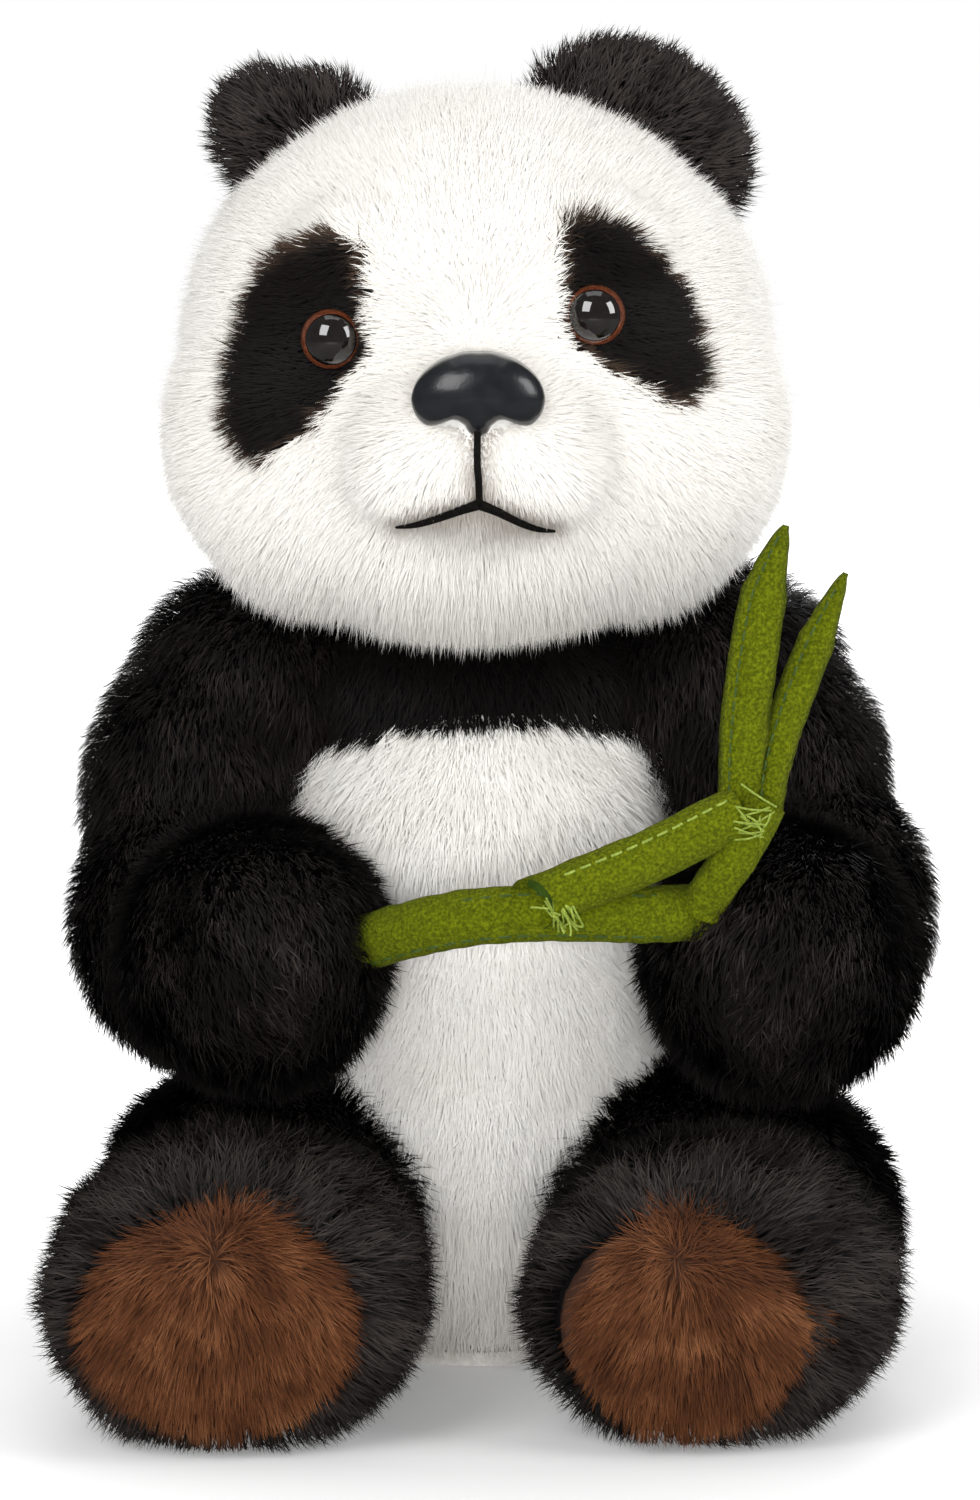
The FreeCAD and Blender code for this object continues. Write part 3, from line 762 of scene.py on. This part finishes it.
def make_nose(tree):
    """A moulded nose: a broad dome with two lobes below and a point between them."""
    spot, _ = on_skin(tree, *NOSE)
    angles = np.linspace(0, 2 * math.pi, 144, endpoint=False)
    edge = nose_outline(angles)
    for _ in range(2):
        edge = (np.roll(edge, 1) + edge * 2 + np.roll(edge, -1)) / 4
    round_edge = 1 / np.hypot(np.cos(angles) / 12.5, np.sin(angles) / 7.4)
    bm = bmesh.new()
    rings = []
    shares = [(1.0, 6.0), (1.0, 1.0)] + [(s, None) for s in np.sin(np.linspace(math.pi / 2, 0.05, 22))]
    for share, depth in shares:
        blend = share**2.5
        reach = share * (edge * blend + round_edge * (1 - blend))
        if depth is None:
            depth = -NOSE_DEPTH * (1 - share**2.1) ** 0.5
        ring = []
        for angle, r in zip(angles, reach):
            place = (NOSE[0] + r * math.cos(angle), spot.y - 1.0 + depth, NOSE[1] + r * math.sin(angle))
            ring.append(bm.verts.new(to_row(place)))
        rings.append(ring)
    band(bm, rings)
    bm.faces.new(rings[0])
    bm.faces.new(rings[-1]).smooth = True
    bmesh.ops.recalc_face_normals(bm, faces=bm.faces)
    attach(mesh_object("nose_moulding", bm, materials["nose"]), "nose_plastic", "head", "nose")


def new_curve(name, radius=0.0, roundness=0):
    """An empty curve in space, as thick as radius in mm."""
    data = bpy.data.curves.new(name, "CURVE")
    data.dimensions = "3D"
    data.bevel_depth = radius * MM
    data.bevel_resolution = roundness
    data.use_fill_caps = True
    return data


def add_spline(data, places, steps=12):
    """A smooth line through a curve's places, which ends at the first and the last."""
    spline = data.splines.new("NURBS")
    spline.points.add(len(places) - 1)
    for point, place in zip(spline.points, places):
        point.co = (*place, 1)
    spline.order_u = 3
    spline.use_endpoint_u = True
    spline.resolution_u = steps
    return spline


def tube(name, points, radius, material, shares=None, roundness=4):
    """A round thread or tube along points in mm. shares scale its radius at each point."""
    data = new_curve(name, radius, roundness)
    spline = add_spline(data, to_row([tuple(p) for p in points]).tolist(), steps=8)
    for point, share in zip(spline.points, shares or [1.0] * len(points)):
        point.radius = share
    return new_object(name, data, material)


def make_mouth(tree):
    """Black thread stitched over the short pile: one line down, two out to the corners."""

    def laid(places, lift):
        made = []
        for x, z in places:
            spot, normal = on_skin(tree, x, z)
            made.append(spot + normal * lift)
        return made

    join_x, join_z = MOUTH_JOIN
    lines = {"mouth_thread_middle": [(NOSE[0], NOSE[1] - 7.5), (0.3, 201), (0.9, 197), (join_x, join_z)]}
    for name, (corner_x, corner_z) in zip(("mouth_thread_right", "mouth_thread_left"), MOUTH_CORNERS):
        drop = join_z - corner_z
        shares = ((0.18, 0.16), (0.40, 0.45), (0.65, 0.74), (0.85, 0.93), (1.0, 1.0))
        bend = [(join_x + (corner_x - join_x) * a, join_z - drop * b) for a, b in shares]
        lines[name] = [MOUTH_JOIN] + bend
    for name, places in lines.items():
        middle = name == "mouth_thread_middle"
        taper = [1.0] * len(places) if middle else [1.5, 1.3, 1.1, 1.0, 0.75, 0.4]
        thread = tube(name, laid(places, 1.9), MOUTH_THREAD_R, materials["black_thread"], taper)
        attach(thread, "black_thread", "head", *(["mouth_thread"] if middle else []))


EARS = {  # balls: middle, half sizes, turn. The right ear is bent, with a dent at the top
    "right": [
        ((-41.5, 3, 263.5), (12.0, 6.5, 15.5), (0, -38, 0)),
        ((-32.0, 6, 264), (10, 6.0, 13.5), (0, -12, 0)),
    ],
    "left": [((34.5, 4, 264.0), (24.0, 7.0, 18.0), (0, 31, 0))],
}


def make_ears(rng):
    for side, balls in EARS.items():
        skin = sculpt(balls, 1.8, 8, lumps=0.8, swell=0.8)
        padded_skin("ear_skin_" + side, skin, "black_skin", 0.6, 0.7, "black_plush", "head", "ear_" + side)
        roots, normals = scatter(skin, PLUSH["ear"].density, rng)
        comb = unit(roots - np.array([0, 0, 225.0])) * np.array([1, 0.3, 1])
        shapes = grow(roots, normals, comb, PLUSH["ear"], rng, seed=4)
        # Painted light: the ears' pile takes a lighter tone than the rest of the black plush, for the light
        # that falls on them from above; the noise adds tone that differs at random.
        tone = 0.80 + wander(roots, 8.0, 5)[:, 0] * 0.20 + rng.normal(0, 0.14, len(roots))
        pile_object("ear_pile_" + side, shapes, normals, tone, "black", "black_plush", "head")


# ---------------------------------------------------------------- body


BODY_BALLS = [
    ((0, 0, 66), (50, 49, 62)),
    ((0, 3, 32), (50, 47, 36)),
    ((0, -1, 112), (47, 43, 40)),
    ((0, 3, 144), (55, 30, 20)),
    ((0, 2, 40), (40, 44, 44)),
]
FLOOR_SKIN = 1.2  # the lowest the body's skin comes
FLOOR_PILE = 0.4  # and its pile
YOKE_FRONT = 142.0  # height of the shoulder band's lower edge, at its highest point in front
YOKE_DROP = 22.0  # how much lower it is behind
TAIL_BALLS = [((0, 52, 33), (13, 10, 11)), ((0, 46, 33), (14, 10, 12))]


def yoke_edge(x, y):
    """Height of the lower edge of the black shoulder band."""
    front = YOKE_FRONT - 0.004 * (x - 8) ** 2
    return front - YOKE_DROP * fade(y, -20, 30)


def make_body(rng):
    skin = sculpt(BODY_BALLS, 3.0, 12, floor=FLOOR_SKIN, lumps=1.0, swell=0.5)
    padded_skin("body_skin", skin, "white_skin", 0.8, 0.85, "white_body_plush", "torso",
                "belly_cover", "back_cover", "body_stuffing")
    yoke = part_skin(skin, lambda m: m[:, 2] > yoke_edge(m[:, 0], m[:, 1]) + 1)
    cloth_skin("yoke_cloth", yoke, 0.4, "black_plush", "torso", "yoke_cover")

    fur = PLUSH["belly"]
    roots, normals = scatter(skin, fur.density, rng)
    keep = (normals[:, 2] > -0.75) & (roots[:, 2] > 2.5)
    roots, normals = roots[keep], normals[keep]
    x, y, z = roots.T
    edge_wobble = wander(roots, 6.0, 11)[:, 2] * 3.0
    black = z + edge_wobble > yoke_edge(x, y)
    comb = np.array([0, 0, -1.0]) + unit(roots * np.array([1, 1, 0])) * 0.15
    low = fade(-z, -75, -15)
    length = fur.length + 2.0 * low
    shapes = grow(roots, normals, comb, fur, rng, length=length, seed=6)
    shapes[:, :, 2] = np.maximum(shapes[:, :, 2], FLOOR_PILE)
    grain = wander(roots, 13.0, 8)[:, 0] * 0.20 + rng.normal(0, 0.10, len(roots))
    # Painted shade: the belly's pile darkens towards the bottom, for the shade between the legs.
    for name, chosen, tone, cloth, slot in (
        ("belly_pile", ~black, 0.84 + grain - 0.40 * fade(-z, -62, -12), "white", "white_body_plush"),
        ("yoke_pile", black, 0.22 + grain * 1.3, "black", "black_plush"),
    ):
        pile_object(name, shapes[chosen], normals[chosen], tone[chosen], cloth, slot, "torso")
    make_tail(rng)


def make_tail(rng):
    skin = sculpt(TAIL_BALLS, 2.4, 8)
    padded_skin("tail_skin", skin, "white_skin", 0.5, 0.7, "white_body_plush", "torso", "tail")
    fur = PLUSH["belly"]
    roots, normals = scatter(skin, fur.density, rng)
    shapes = grow(roots, normals, np.array([0, 0.6, -0.8]) + roots * 0, fur, rng, seed=9)
    tone = 0.66 + rng.normal(0, 0.10, len(roots))
    pile_object("tail_pile", shapes, normals, tone, "white", "white_body_plush", "torso")


def give_material(node, material):
    if not node.material_slots:
        node.data.materials.append(material)
    for place in node.material_slots:
        place.material = material


# ---------------------------------------------------------------- arms and legs

ARM_BALLS = {
    "right": [
        ((-47, 3, 144), (26.5, 26, 24)),
        ((-59.5, -6, 124), (23.5, 25, 28)),
        ((-61, -20, 97), (23.5, 28, 28)),
        ((-47, -54, 96), (25, 25, 26)),
        ((-44, -66, 97), (20, 18, 23)),
    ],
    "left": [
        ((50, 3, 146), (27.5, 26, 24)),
        ((62.5, -6, 126), (24.5, 25, 28)),
        ((71, -20, 99), (25, 28, 28)),
        ((64, -54, 95), (25, 25, 26)),
        ((62, -66, 95), (22, 18, 23)),
    ],
}
ARM_LINES = {  # shoulder, elbow, paw: the way the pile is combed
    "right": ((-50, 2, 150), (-63, -20, 98), (-42, -76, 92)),
    "left": ((52, 2, 150), (72, -20, 99), (60, -76, 90)),
}


DEEP_INSIDE = 33.0  # strands nearer than this to the upright line over the seat are never seen


def outside_body(roots, normals):
    """Without the strands of a limb that are sewn deep inside the body."""
    clear = np.hypot(roots[:, 0], roots[:, 1] - SEAT_BEHIND) > DEEP_INSIDE
    return roots[clear], normals[clear]


def make_arm(side, rng):
    skin = sculpt(ARM_BALLS[side], 2.8, 12, lumps=1.8, swell=1.2)
    padded_skin("arm_skin_" + side, skin, "black_skin", 0.8, 0.85, "black_plush", "arm_" + side,
                "arm_cover_" + side, "arm_stuffing_" + side)
    fur = PLUSH["limb"]
    roots, normals = outside_body(*scatter(skin, fur.density, rng))
    shoulder, elbow, paw = (np.array(p, float) for p in ARM_LINES[side])
    forward = fade(-roots[:, 1], 12, 40)[:, None]
    comb = unit(elbow - shoulder) * (1 - forward) + unit(paw - elbow) * forward
    comb = comb + np.array([0, 0, -0.45])
    shapes = grow(roots, normals, comb, fur, rng, seed=12)
    tone = 0.42 + wander(roots, 10.0, 13)[:, 0] * 0.30 + rng.normal(0, 0.14, len(roots))
    pile_object("arm_pile_" + side, shapes, normals, tone, "black", "black_plush", "arm_" + side)


LEG_BALLS = {
    "right": [
        ((-40, -12, 33), (28, 28, 30)),
        ((-45, -36, 35), (32, 34, 31)),
        ((-49, -78, 30.5), (35, 20, 29)),
        ((-49.5, -91, 30), (35, 11, 28)),
    ],
    "left": [
        ((42, -12, 33), (29, 28, 30)),
        ((52, -36, 34), (35, 34, 31)),
        ((50, -75, 30), (34, 20, 28.5)),
        ((47.5, -88, 29), (34, 11, 27)),
    ],
}
FOOT_SKIN = 1.6  # the lowest that a leg's skin comes
FOOT_PILE = 0.3  # and its pile
PADS = {  # middle across and up, half width, half height, and how far the sole looks inwards
    "right": ((-52.4, 28.6), 29.5, 24.0, 0.0),
    "left": ((41.0, 26.5), 27.0, 23.5, 9.0),
}
PAD_CROWN = 0.55  # where the pad's pile parts, as a share of its half height
PAD_POINTS = {  # corners of each pad: offsets from its middle, and sizes
    "right": [((6, 3.5, 18), (10, 5, 7))],
    "left": [((23, 6.0, 1), (9, 6, 8)), ((2, 4.0, 18), (9, 5, 8))],
}


def make_leg(side, rng):
    skin = sculpt(LEG_BALLS[side], 2.8, 10, floor=FOOT_SKIN, lumps=1.8, swell=0.8)
    padded_skin("leg_skin_" + side, skin, "black_skin", 0.8, 0.85, "black_plush", "leg_" + side,
                "leg_cover_" + side, "leg_stuffing_" + side)

    (pad_x, pad_z), half_wide, half_tall, inward = PADS[side]
    tree = skin_tree(skin)
    front, _ = on_skin(tree, pad_x, pad_z)
    turn = (0, 0, -inward * SIDES[side])
    balls = [((pad_x, front.y + 3.0, pad_z), (half_wide - 2, 7.5, half_tall - 2), turn)]
    balls += [((pad_x + dx, front.y + dy, pad_z + dz), radii) for (dx, dy, dz), radii in PAD_POINTS[side]]
    pad_skin = sculpt(balls, 1.8, 5, floor=FOOT_SKIN, lumps=0.8)
    padded_skin("sole_skin_" + side, pad_skin, "brown_skin", 0.5, 0.6, "brown_plush", "leg_" + side,
                "sole_pad_" + side)

    fur = PLUSH["foot"]
    roots, normals = outside_body(*scatter(skin, fur.density, rng))
    gap = np.hypot((roots[:, 0] - pad_x) / half_wide, (roots[:, 2] - pad_z) / half_tall)
    hidden = (gap < 0.90) & (roots[:, 1] < front.y + 12)
    keep = ~hidden & ((normals[:, 2] > -0.8) | (roots[:, 2] > 5))
    roots, normals = roots[keep], normals[keep]
    foot = fade(-roots[:, 1], 62, 84)[:, None]
    radial = unit((roots - np.array([pad_x, 0, pad_z])) * np.array([1, 0, 1]))
    comb = np.array([0, -0.8, -0.35]) * (1 - foot) + (radial + np.array([0, -0.15, -0.1])) * foot
    shapes = grow(roots, normals, comb, fur, rng, seed=15)
    shapes[:, :, 2] = np.maximum(shapes[:, :, 2], FOOT_PILE)
    # Painted light and shade: the foot's front rim takes a lighter tone and the thigh behind it a darker one,
    # as light falls on them; the noise adds tone that differs at random.
    tone = 0.34 + 0.32 * foot[:, 0] + wander(roots, 9.0, 16)[:, 0] * 0.28 + rng.normal(0, 0.14, len(roots))
    pile_object("leg_pile_" + side, shapes, normals, tone, "black", "black_plush", "leg_" + side)

    fur = PLUSH["sole"]
    roots, normals = scatter(pad_skin, fur.density, rng)
    keep = roots[:, 1] < front.y + 1.5
    roots, normals = roots[keep], normals[keep]
    radial = unit((roots - np.array([pad_x, 0, pad_z + half_tall * PAD_CROWN])) * np.array([1, 0, 1]))
    comb = radial * 0.8 + np.array([0, 0, -0.5])
    shapes = grow(roots, normals, comb, fur, rng, seed=18)
    shapes[:, :, 2] = np.maximum(shapes[:, :, 2], FOOT_PILE)
    tone = 0.48 + wander(roots, 7.0, 19)[:, 0] * 0.45 + rng.normal(0, 0.15, len(roots))
    pile_object("sole_pile_" + side, shapes, normals, tone, "brown", "brown_plush", "leg_" + side)


# ---------------------------------------------------------------- bamboo

STALK_R = 5.9
BRANCH_R = 5.5
TWIG_R = 4.6
FILLING_R = 3.6
STALK_LINE = [
    (-44, -54, 92), (-34, -59, 95), (-25, -67, 99.5), (-14, -76, 104.5), (-2, -81, 108),
    (12, -83, 109.5), (28, -83, 109.0), (40, -80, 108.5), (50, -72, 108), (58, -62, 107),
]
BRANCH_LINE = [(11.5, -88, 112.0), (24, -88, 117.0), (38, -86, 122.5), (54, -83, 130.5)]
TWIG_LINE = [(46, -80, 109.5), (49.5, -83, 116), (55, -83.5, 124), (59, -82.5, 132)]


TUBE_SIDES = 28


def felt_tube(name, line, radius, node, flatten=1.0, slant=0.0):
    """A rolled strip of felt: an uneven tube, open at both ends. slant cuts its start obliquely."""
    data = new_curve(name)
    add_spline(data, line, steps=10)
    holder = new_object(name + "_line", data)
    mesh = bpy.data.meshes.new_from_object(holder)
    path = [v.co.copy() for v in mesh.vertices]
    bpy.data.objects.remove(holder)
    bpy.data.meshes.remove(mesh)
    bm = bmesh.new()
    rings = []
    for i, place in enumerate(path):
        way = (path[min(i + 1, len(path) - 1)] - path[max(i - 1, 0)]).normalized()
        side = way.cross(Vector((0, -1, 0))).normalized()
        front = side.cross(way).normalized()
        slide = way * slant * radius * max(0.0, 1 - i / 7)
        ring = []
        for k in range(TUBE_SIDES):
            a = 2 * math.pi * k / TUBE_SIDES
            lump = noise.noise(Vector((i * 0.35, math.cos(a) * 1.3, math.sin(a) * 1.3 + radius)))
            r = radius * (1 + 0.06 * lump)
            rim = side * r * math.cos(a) + front * r * flatten * math.sin(a)
            ring.append(bm.verts.new(place + rim + slide * math.sin(a)))
        rings.append(ring)
    band(bm, rings)
    for ring, order in ((rings[0], -1), (rings[-1], 1)):
        cap = bm.faces.new(ring[::order])
        inner = bmesh.ops.inset_individual(bm, faces=[cap], thickness=radius * 0.26, depth=0)["faces"]
        sunk = bmesh.ops.inset_individual(bm, faces=[cap], thickness=0.3, depth=radius * 0.5)["faces"]
        # The whole end takes the darker felt: painted shade in the open end.
        for face in inner + sunk + [cap]:
            face.material_index = 1
    bmesh.ops.recalc_face_normals(bm, faces=bm.faces)
    to_row_frame(bm)
    felt = mesh_object(name, bm, materials["felt"], materials["felt_painted_shade"])
    attach(felt, "green_felt", "arm_left", node)
    return path


def stitches(name, path, offset, material, length=2.6, gap=1.3, radius=0.28):
    """Running stitches along a path in mm, moved by offset."""
    total = 0.0
    marks = [0.0]
    for a, b in zip(path, path[1:]):
        total += (b - a).length
        marks.append(total)

    def at(distance):
        i = max(j for j, m in enumerate(marks) if m <= distance + 1e-9)
        i = min(i, len(path) - 2)
        share = (distance - marks[i]) / (marks[i + 1] - marks[i])
        return path[i].lerp(path[i + 1], share)

    data = new_curve(name, radius, roundness=2)
    start = 1.0
    while start + length < total - 1.0:
        places = []
        for share, sink in ((0.0, 0.25), (0.5, -0.25), (1.0, 0.25)):
            places.append(to_row(at(start + length * share) + Vector(offset) + Vector((0, sink, 0))))
        add_spline(data, places)
        start += length + gap
    attach(new_object(name, data, material), "green_thread", "arm_left")


LEAVES = {  # middle line from the foot to the tip, half width on the way, and the node it stands for
    "long": ([(54, -83, 130), (54.5, -84, 145), (56.0, -85, 160), (58.5, -84, 175), (62.8, -82, 188.5)],
             (4.5, 5.0, 5.1, 4.7, 0.7)),
    "short": ([(59.5, -82, 129), (61.0, -81.5, 140), (64.5, -81, 152), (69.5, -80, 165), (75.2, -79, 178.5)],
              (3.0, 3.6, 4.0, 3.8, 0.6)),
}


def make_leaf(name, line, widths):
    """A doubled strip of felt, folded along one edge, stitched near the other, pointed at the tip."""
    steps, across = 36, 8
    thick = 0.9
    points = [Vector(p) for p in line]

    def on_line(t):
        place = t * (len(points) - 1)
        i = min(int(place), len(points) - 2)
        f = place - i
        a, b = points[i], points[i + 1]
        before = points[max(i - 1, 0)]
        after = points[min(i + 2, len(points) - 1)]
        m0, m1 = (b - before) * 0.5, (after - a) * 0.5
        spot = a * (2 * f**3 - 3 * f**2 + 1) + m0 * (f**3 - 2 * f**2 + f) + b * (-2 * f**3 + 3 * f**2)
        wide = widths[i] + (widths[i + 1] - widths[i]) * f
        return spot + m1 * (f**3 - f**2), wide

    bm = bmesh.new()
    sheets = []
    for face_side in (-1, 1):
        grid = []
        for i in range(steps + 1):
            spot, wide = on_line(i / steps)
            ahead, _ = on_line(min(1, (i + 1) / steps))
            behind, _ = on_line(max(0, (i - 1) / steps))
            way = (ahead - behind).normalized()
            side = way.cross(Vector((0, -1, 0))).normalized()
            row = []
            for k in range(across + 1):
                s = 2 * k / across - 1
                ruffle = noise.noise(Vector((s * 1.4, i * 0.22, 3.3 if name == "long" else 7.7))) * 0.9
                edge = noise.noise(Vector((i * 0.9, s * 4, 1.7))) * 0.25
                lift = face_side * thick * (1 - s**4) ** 0.5 + ruffle + 1.3 * s * s
                row.append(bm.verts.new(spot + side * (s * wide + edge) + Vector((0, lift, 0))))
            grid.append(row)
        sheets.append(grid)
        for i in range(steps):
            for k in range(across):
                quad = (grid[i][k], grid[i][k + 1], grid[i + 1][k + 1], grid[i + 1][k])
                bm.faces.new(quad if face_side < 0 else quad[::-1]).smooth = True
    front, back = sheets
    for i in range(steps):
        for k, flip in ((0, 1), (across, -1)):
            quad = (front[i][k], front[i + 1][k], back[i + 1][k], back[i][k])
            bm.faces.new(quad[::flip])
    for i, flip in ((0, -1), (steps, 1)):
        for k in range(across):
            quad = (front[i][k], front[i][k + 1], back[i][k + 1], back[i][k])
            bm.faces.new(quad[::flip])
    bmesh.ops.remove_doubles(bm, verts=bm.verts, dist=0.02)
    bmesh.ops.recalc_face_normals(bm, faces=bm.faces)
    to_row_frame(bm)
    leaf = mesh_object("leaf_" + name, bm, materials["felt"])
    attach(leaf, "green_felt", "arm_left", "bamboo_leaf_" + name)
    seam = []
    for i in range(steps):
        spot, wide = on_line(i / steps)
        seam.append(spot + Vector((-wide * 0.55, -1.55, 0)))
    stitches("leaf_seam_" + name, seam, (0, 0, 0), materials["edge_thread"], 2.0, 0.9, 0.22)


TIE_THREAD_R = 0.24


def knot(name, centre, wrap, rng, strokes, ends):
    """A tie of light green thread: short untidy strokes across the stems, with loose ends."""
    wrap = np.array(wrap) / np.linalg.norm(wrap)
    aside = np.cross(wrap, [0, 1, 0])
    lines = []
    for _ in range(strokes):
        middle = np.array(centre) + aside * rng.normal(0, 1.7) + wrap * rng.normal(0, 1.2)
        way = wrap + aside * rng.normal(0, 0.35)
        reach = rng.uniform(2.2, 4.6)
        lift = np.array([0, -rng.uniform(0.2, 1.1), 0])
        sink = np.array([0, 1.6, 0])
        lines.append([middle - way * reach + sink, middle - way * reach * 0.45, middle + lift,
                      middle + way * reach * 0.45, middle + way * reach + sink])
    for _ in range(ends):
        start = np.array(centre) + wrap * rng.normal(1.0, 2.0) + aside * rng.normal(0, 1.5)
        start = start + np.array([0, -0.6, 0])
        way = rng.normal(0, 1, 3) * np.array([1, 0.4, 1]) + wrap * 0.8 + np.array([0, -0.5, 0])
        way *= rng.uniform(2.0, 4.0) / np.linalg.norm(way)
        lines.append([start, start + way * 0.5 + rng.normal(0, 0.5, 3), start + way])
    for number, line in enumerate(lines):
        thread = tube(f"{name}_{number}", line, TIE_THREAD_R, materials["green_thread"], roundness=1)
        attach(thread, "green_thread", "arm_left", *(["bamboo_" + name] if number == 0 else []))


def make_bamboo(rng):
    stalk = felt_tube("stalk_felt", STALK_LINE, STALK_R, "bamboo_stalk", 0.9)
    branch = felt_tube("branch_felt", BRANCH_LINE, BRANCH_R, "bamboo_branch", 0.85, slant=0.8)
    filling = tube("stalk_filling", STALK_LINE[1:-1], FILLING_R, materials["seat"])
    attach(filling, "stuffing", "arm_left", "bamboo_filling")
    felt_tube("twig_felt", TWIG_LINE, TWIG_R, "bamboo_twig", 0.9)
    stitches("stalk_seam", stalk, (0, -4.0, -4.0), materials["edge_thread"])
    stitches("stalk_seam_top", stalk, (0, -3.6, 4.4), materials["edge_thread"])
    stitches("branch_seam", branch[4:], (-0.8, -3.6, 3.6), materials["green_thread"], 2.2, 1.2, 0.30)
    for name, (line, widths) in LEAVES.items():
        make_leaf(name, line, widths)
    knot("tie_lower", (17.0, -91.5, 110.5), (0.45, 0, -1), rng, strokes=16, ends=8)
    knot("tie_upper", (55.5, -88.0, 129.5), (1, 0, -0.25), rng, strokes=12, ends=6)


# ---------------------------------------------------------------- all of it

random = np.random.default_rng(20)
make_head(random)
make_body(random)
for arm_side in SIDES:
    make_arm(arm_side, random)
    make_leg(arm_side, random)
make_bamboo(random)

for kept_node in ("nose_washer", "pellet_bag", "seat_panel"):
    give_material(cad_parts[kept_node], materials["seat"])


def corners(box):
    return [[round(value, 5) for value in corner] for corner in box]
